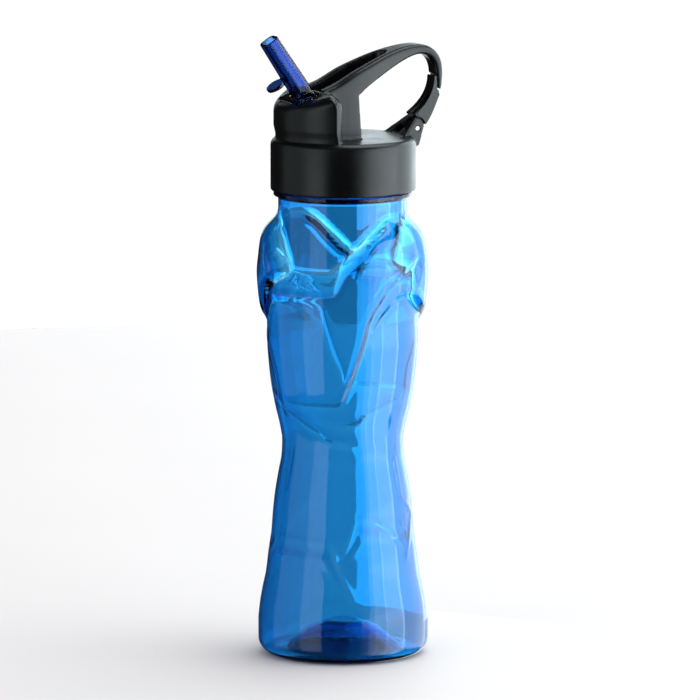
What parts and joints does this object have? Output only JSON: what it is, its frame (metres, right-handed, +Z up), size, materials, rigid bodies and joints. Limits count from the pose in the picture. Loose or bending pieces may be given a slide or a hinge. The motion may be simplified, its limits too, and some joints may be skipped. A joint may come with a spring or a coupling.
{
  "type": "sports bottle",
  "caption": "Clear blue sculpted drinking bottle with a black screw lid, a flip-up spout and a carrying arm that ends in a sprung carabiner gate.",
  "frame": {"origin": "centre of the standing ring under the base", "axes": "+Z up along the bottle's axis, +X towards the carabiner hook"},
  "size_m": [0.0821, 0.0734, 0.2691],
  "materials": {
    "bottle_plastic": "clear tinted plastic, polished",
    "lid_plastic": "satin black polypropylene",
    "silicone": "translucent white silicone",
    "spout_plastic": "clear dark blue plastic, polished",
    "pin_steel": "bright cut wire"
  },
  "bodies": {
    "bottle": {"bottle_body": "bottle_plastic"},
    "lid_carriage": {"lid_gasket": "silicone"},
    "lid": {"lid_body": "lid_plastic", "gate_pin": "pin_steel", "spout_seal": "silicone", "vent_valve": "silicone"},
    "spout": {"spout": "spout_plastic"},
    "gate": {"gate": "lid_plastic"}
  },
  "joints": [
    {"name": "lid_lift", "type": "slide", "parent": "bottle", "child": "lid_carriage", "axis": [0, 0, 1], "range_m": [0, 0.0201]},
    {"name": "lid_turn", "type": "hinge", "parent": "lid_carriage", "child": "lid", "pos_m": [0, 0, 0.21], "axis": [0, 0, 1], "range_deg": [0, 900]},
    {"name": "spout_flip", "type": "hinge", "parent": "lid", "child": "spout", "pos_m": [-0.019, 0, 0.2411], "axis": [0, 1, 0], "range_deg": [0, 92]},
    {"name": "gate_swing", "type": "hinge", "parent": "lid", "child": "gate", "pos_m": [0.0315, 0, 0.2272], "axis": [0, -1, 0], "range_deg": [0, 30], "stiffness_Nm_per_rad": 0.03, "springref_deg": -14.32}
  ],
  "couplings": [
    {"joint": "lid_lift", "follows": "lid_turn", "m_per_rad": 0.0012732}
  ]
}
